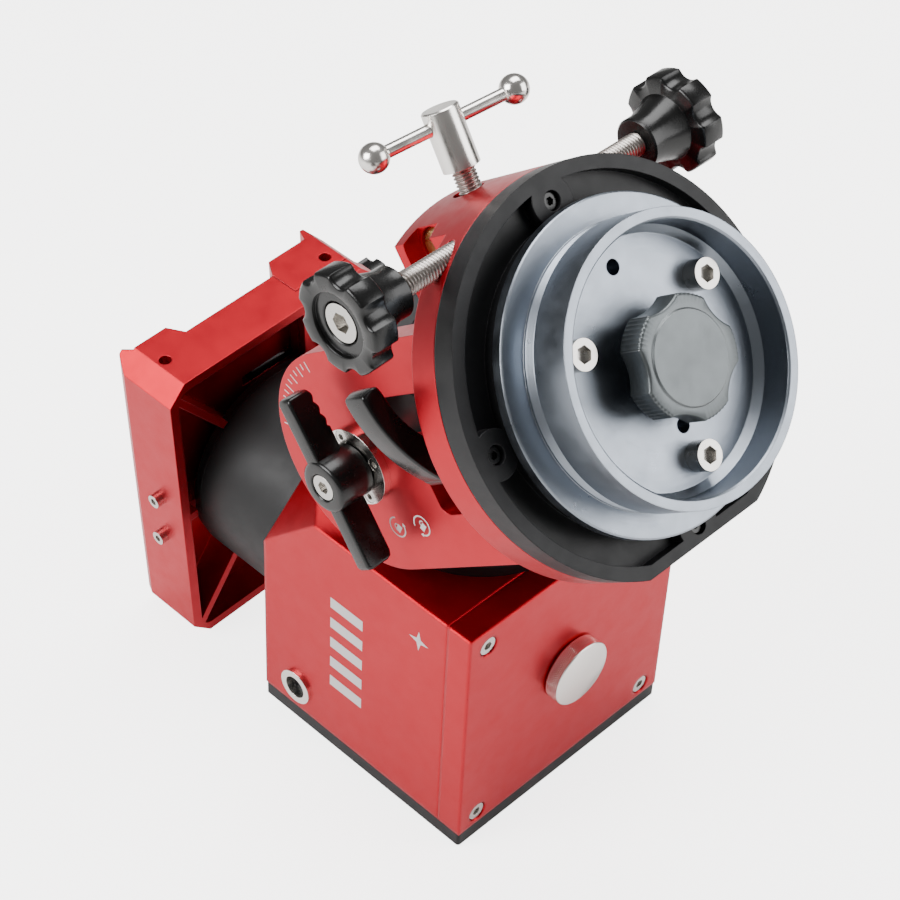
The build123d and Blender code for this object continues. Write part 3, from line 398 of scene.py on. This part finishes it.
def centre_knob():
    """Five toothed crests, a raised disc on the face, and a threaded stud."""
    grip = lobes(19.7, 5, 17.7, 34.9, math.radians(49.3), teeth=0.22)
    levels = [(-3.1, 14.6), (-2.45, 15.1), (-2.4, 15.5), (-2.4, inset(grip, 0.9)), (-2.15, inset(grip, 0.35)),
              (-1.6, grip), (6.6, grip), (7.2, inset(grip, 0.4)), (7.5, inset(grip, 1.1)), (7.5, 9.0),
              (13.5, 9.0), (13.5, 4.7)]
    points, faces = ringed(levels, 900)
    piece("centre_knob_grip", points, faces, Matrix.Identity(4), "centre_knob_body", "grey_anodised",
          ["centre_knob"], 35)
    points, faces = threaded(25.8, **M10_THREAD)
    piece("centre_knob_stud", points, faces, place((0, 0, 0.0136), Z_AXIS, X_AXIS), "centre_knob_body",
          "steel")


def shaft_plug():
    """The knurled plug over the declination shaft's end."""
    rows = 26
    knurled = [0.5 + 5.0 * i / rows for i in range(rows + 1)]
    levels = [(-16.0, 5.9), (0.0, 6.0), (0.0, 12.3)] + [(z, knurl(z)) for z in knurled]
    points, faces = ringed(levels + [(5.8, 12.7), (6.0, 12.3)], 440, fan=False)
    piece("shaft_plug_knurled", points, faces, place(head(47.8, 0, 95.4), SIDE, LEFT), "plug", "nickel",
          ["shaft_plug"], 35)


def altitude_screw():
    """The CAD screw's turned barrel, its shank thinned to sit inside a threaded rod."""
    shank_end = 0.019
    shank_radius = 0.0043
    mesh = nodes["altitude_screw"].data.copy()
    mesh.name = "altitude_screw_barrel"
    for v in mesh.vertices:
        along = (v.co - ALTITUDE_NUT_AT).dot(ALTITUDE_SCREW_OUT)
        on_axis = ALTITUDE_NUT_AT + ALTITUDE_SCREW_OUT * along
        if along < shank_end and (v.co - on_axis).length < shank_radius:
            v.co = on_axis + (v.co - on_axis) * 0.8
    barrel = bpy.data.objects.new("altitude_screw_barrel", mesh)
    bpy.context.scene.collection.objects.link(barrel)
    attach(barrel, "altitude_adjuster")
    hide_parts("altitude_screw")
    points, faces = threaded(31.0, **M8_THREAD)
    start = ALTITUDE_NUT_AT - ALTITUDE_SCREW_OUT * 0.0125
    piece("altitude_screw_thread", points, faces, place(start, ALTITUDE_SCREW_OUT, X_AXIS),
          "altitude_adjuster", "nickel", flat_angle=45)


def wing_lever(side, sign):
    """Two deep flat wings on a round hub, the upper one with finger grips on its inner edge."""
    upper = [(-5.8, 13.5), (-12.0, 13.6), (-24.0, 13.7), (-29.6, 13.7), (-30.8, 12.9), (-31.0, 11.6),
             (-31.0, 5.6)]
    for k in range(31):
        scallop = 0.9 * abs(math.sin(math.pi * 3 * k / 30))
        upper.append((-30.6 + 13.2 * k / 30, 4.6 - 1.3 * k / 30 - scallop + 0.5))
    upper += [(-16.6, 2.9), (-5.8, 2.9)]
    lower = [(5.8, 2.9), (28.6, 2.9), (30.4, 3.6), (31.0, 5.2), (31.0, 11.8), (30.6, 13.0), (29.4, 13.7),
             (12.0, 13.6), (5.8, 13.5)]
    hub_at = (sign * 0.0558, 0, ALTITUDE_AXIS_Z)
    for part, wing in (("upper", upper), ("lower", lower)):
        points, faces = slab([(y, -h * sign) for y, h in wing], -3.3, 3.3, 1.1, 4)
        piece("altitude_wing_" + part + "_" + side, points, faces, place(hub_at, Z_AXIS, Y_AXIS),
              "altitude_lock_" + side, "black_gloss", ["altitude_lever_" + side], 50)
    levels = [(0.0, 3.1), (0.0, 8.7), (0.7, 9.3), (12.9, 9.3), (13.6, 9.0), (14.0, 8.4), (14.2, 7.6),
              (14.2, 5.3), (13.9, 4.9), (13.4, 4.75), (9.2, 4.75), (9.2, 3.1)]
    points, faces = ringed(levels, 96, closed=True)
    piece("altitude_hub_" + side, points, faces, place(hub_at, (sign, 0, 0), Y_AXIS),
          "altitude_lock_" + side, "black_gloss", flat_angle=35)


def azimuth_lock():
    """A slim curved blade on a round hub."""
    corners = [(-50.2, -1.6), (-51.2, 6.5), (-57.0, 7.6), (-62.0, 3.2), (-68.2, -7.0), (-72.2, -18.0),
               (-73.7, -28.0), (-72.0, -30.3), (-68.0, -30.6), (-66.4, -28.5), (-64.6, -19.5),
               (-60.0, -10.5), (-54.0, -4.6)]
    points, faces = slab(smooth_outline(corners, 8), 56.1, 66.6, 1.0, 4)
    piece("azimuth_lock_blade", points, faces, Matrix.Identity(4), "azimuth_lock", "black_gloss",
          ["azimuth_lock_lever"], 50)
    levels = [(56.0, 3.1), (56.0, 6.4), (56.5, 6.95), (66.3, 6.95), (67.0, 6.3), (67.0, 3.1)]
    points, faces = ringed(levels, 72, closed=True)
    piece("azimuth_lock_hub", points, faces, Matrix.Translation((-0.054, 0.002, 0)), "azimuth_lock",
          "black_gloss", flat_angle=35)


BOTH_SIDES = (("left", -1), ("right", 1))
for side, sign in BOTH_SIDES:
    azimuth_screw_and_knob(side, sign)
centre_knob()
shaft_plug()
altitude_screw()
for name in ("azimuth_screw_thread_left", "azimuth_screw_thread_right", "altitude_screw_thread"):
    bpy.data.objects[name].data.materials[0] = thread_steel
for side, sign in BOTH_SIDES:
    wing_lever(side, sign)
azimuth_lock()

# ---- printed marks: plain symbols, no text ----

print_ink = finish_metal("print_ink", (0.66, 0.62, 0.62), 0.0, 0.55, edge=0.0, grain=0.15, round_edge=0.0001)


def strip(path, width):
    """Flat polygons along a path of 2D points."""
    quads = []
    for (ax, ay), (bx, by) in zip(path, path[1:]):
        size = math.hypot(bx - ax, by - ay) or 1.0
        nx, ny = -(by - ay) / size * width / 2, (bx - ax) / size * width / 2
        quads.append([(ax + nx, ay + ny), (ax - nx, ay - ny), (bx - nx, by - ny), (bx + nx, by + ny)])
    return quads


def polar(r, degrees, cx=0.0, cy=0.0):
    return cx + r * math.cos(math.radians(degrees)), cy + r * math.sin(math.radians(degrees))


def arc(cx, cy, r, start, end, count=24):
    return [polar(r, start + (end - start) * k / count, cx, cy) for k in range(count + 1)]


def printed(name, polygons, matrix, body, lift=0.03):
    """Thin ink just above a surface, in the ink's finish."""
    points, faces = [], []
    for poly in polygons:
        faces.append(tuple(range(len(points), len(points) + len(poly))))
        points += [(x, y, lift) for x, y in poly]
    obj = piece(name, points, faces, matrix, body, "light_alloy")
    obj.data.materials[0] = print_ink


def lock_icon(turned, shackle):
    """A padlock in a ring with one arrowhead."""
    ring_radius = 3.6
    side = 1 if turned else -1
    start = 40 if turned else 140
    end = start + 285 * side
    polys = strip(arc(0, 0, ring_radius, start, end), 0.55)
    px, py = polar(ring_radius, end)
    tx, ty = -py / ring_radius * side, px / ring_radius * side
    polys.append([(px + tx * 1.3, py + ty * 1.3), (px - ty * 0.8, py + tx * 0.8),
                  (px + ty * 0.8, py - tx * 0.8)])
    polys.append([(-1.5, -1.7), (1.5, -1.7), (1.5, 0.3), (-1.5, 0.3)])
    polys += strip(arc(shackle, 0.3, 1.0, 0, 180, 12), 0.45)
    return polys


ARM_FACE_X = -0.0525
for name, y, z, turned, shackle in (("lock_mark", 23.8, 104.1, True, 0.0),
                                    ("unlock_mark", 24.0, 90.6, False, 0.9)):
    matrix = place((ARM_FACE_X, y * MM, z * MM), LEFT, (0, -0.57, -0.82))
    printed(name, lock_icon(turned, shackle), matrix, "yoke")

ticks = []
for k in range(-6, 7):
    degrees = 145 + 4.5 * k
    inner = 33.6 if k % 2 == 0 else 35.2
    ticks += strip([polar(inner, degrees), polar(37.4, degrees)], 0.45)
on_arm = Matrix(((0, 0, -1, ARM_FACE_X), (1, 0, 0, 0), (0, 1, 0, ALTITUDE_AXIS_Z), (0, 0, 0, 1)))
printed("altitude_scale", ticks, on_arm, "yoke")

# the drive box's left face: a plain four-pointed star and five level bars
BOX_FACE_Y = 52.3
star = [polar(4.6 if k % 2 == 0 else 1.4, 45 * k) for k in range(8)]
printed("emblem", [star], place(head(24.2, BOX_FACE_Y, 62.6), LEFT, SIDE), "dec_unit")
bars = [[(-8, v), (8, v), (8, 5 + v), (-8, 5 + v)] for v in (-24, -14, -4, 6, 16)]
printed("bars", bars, place(head(-10.5, BOX_FACE_Y, 95.0), LEFT, SIDE), "dec_unit")

# ---- camera at the photo's angle ----

CAMERA_AT = Vector((-0.466056, -0.174352, -0.569975))
CAMERA_RIGHT = Vector((0.702588, 0.41498, -0.578068))
CAMERA_DOWN = Vector((-0.46755, 0.881602, 0.064616))
CAMERA_FORWARD = Vector((0.53644, 0.224877, 0.813426))


def camera(lens):
    data = bpy.data.cameras.new("camera")
    data.lens = lens
    data.sensor_width = 36.0
    data.clip_start = 0.05
    data.clip_end = 20.0
    cam = bpy.data.objects.new("camera", data)
    bpy.context.scene.collection.objects.link(cam)
    m = Matrix.Identity(4)
    for row in range(3):
        m[row][0] = CAMERA_RIGHT[row]
        m[row][1] = -CAMERA_DOWN[row]
        m[row][2] = -CAMERA_FORWARD[row]
        m[row][3] = CAMERA_AT[row]
    cam.matrix_world = m
    bpy.context.scene.camera = cam


camera(lens=100.767)

# ---- floor under the cover, seen only from the object's side ----


def floor_material():
    """Pale paper, bright where the camera sees it and clear from behind."""
    mat = bpy.data.materials.new("floor")
    mat.use_nodes = True
    tree = mat.node_tree
    tree.nodes.clear()
    where = add(tree, "ShaderNodeTexCoord").outputs["Object"]
    soft = noise(tree, where, 3.0)
    seen = add(tree, "ShaderNodeLightPath").outputs["Is Camera Ray"]
    glossy = add(tree, "ShaderNodeLightPath").outputs["Is Glossy Ray"]
    glow = maths(tree, "ADD", maths(tree, "MULTIPLY", seen, 3.7), maths(tree, "MULTIPLY", glossy, 0.35))
    paper = add(tree, "ShaderNodeBsdfPrincipled", {
        "Base Color": shade(tree, soft, (0.84, 0.835, 0.82, 1), (0.86, 0.855, 0.845, 1)),
        "Roughness": 0.75, "Specular IOR Level": 0.2,
        "Emission Color": (1.0, 0.99, 0.985, 1), "Emission Strength": glow})
    clear = add(tree, "ShaderNodeBsdfTransparent")
    back = add(tree, "ShaderNodeNewGeometry").outputs["Backfacing"]
    mixed = add(tree, "ShaderNodeMixShader", {0: back, 1: paper.outputs[0], 2: clear.outputs[0]})
    add(tree, "ShaderNodeOutputMaterial", {"Surface": mixed.outputs[0]})
    return mat


def floor_plane():
    """The table: it meets the far lower edge of the cover and the lowest corner of the saddle."""
    reach = 6.0
    clearance = 0.002
    cover_face = 0.15185
    box_half_depth = 0.0475
    edge = RA_POINT + POLE * cover_face + SIDE * box_half_depth
    slope = 0.0
    for name in ("saddle_plate", "clamp_jaw"):
        for v in nodes[name].data.vertices:
            away = v.co - edge
            slope = max(slope, away.dot(POLE) / -away.dot(SIDE))
    along = (-SIDE + POLE * (slope + clearance)).normalized()
    up = along.cross(LEFT)
    if up.dot(POLE) > 0:
        up = -up
    across = up.cross(LEFT)
    corners = [edge + LEFT * a * reach + across * b * reach for a, b in ((-1, -1), (1, -1), (1, 1), (-1, 1))]
    mesh = bpy.data.meshes.new("floor")
    mesh.from_pydata(corners, [], [(0, 1, 2, 3)])
    obj = bpy.data.objects.new("floor", mesh)
    bpy.context.scene.collection.objects.link(obj)
    mesh.materials.append(floor_material())


floor_plane()

# ---- studio light, placed from the floor's up and the camera's sideways and near directions ----

MIDDLE = head(0, 0, 70)
UP = -POLE


def level(direction):
    """A direction laid flat on the studio's floor."""
    return (direction - UP * direction.dot(UP)).normalized()


def studio(right, near, up):
    """A point round the object in metres: to the picture's right, towards the viewer, above the floor."""
    return MIDDLE + level(CAMERA_RIGHT) * right + level(-CAMERA_FORWARD) * near + UP * up


def softbox(name, at, size, power):
    light = bpy.data.lights.new(name, "AREA")
    light.shape = "RECTANGLE"
    light.size, light.size_y = size
    light.energy = power
    obj = bpy.data.objects.new(name, light)
    bpy.context.scene.collection.objects.link(obj)
    facing = (MIDDLE - at).to_track_quat("-Z", "Y").to_matrix().to_4x4()
    obj.matrix_world = Matrix.Translation(at) @ facing


def surroundings():
    """A dim room for the reflections, and a pale one behind the object."""
    world = bpy.data.worlds.new("studio")
    bpy.context.scene.world = world
    world.use_nodes = True
    tree = world.node_tree
    tree.nodes.clear()
    dim = add(tree, "ShaderNodeBackground", {"Color": (1.0, 0.995, 0.985, 1), "Strength": 0.22})
    pale = add(tree, "ShaderNodeBackground", {"Color": (0.97, 0.97, 0.965, 1), "Strength": 3.2})
    seen = add(tree, "ShaderNodeLightPath").outputs["Is Camera Ray"]
    mixed = add(tree, "ShaderNodeMixShader", {0: seen, 1: dim.outputs[0], 2: pale.outputs[0]})
    add(tree, "ShaderNodeOutputWorld", {"Surface": mixed.outputs[0]})


softbox("key", studio(-1.3, 0.5, 0.9), (0.9, 1.1), 34)
softbox("top", studio(0.0, -0.6, 1.5), (1.3, 0.9), 26)
softbox("right_wall", studio(1.5, 0.1, 0.75), (1.3, 1.1), 20)
surroundings()
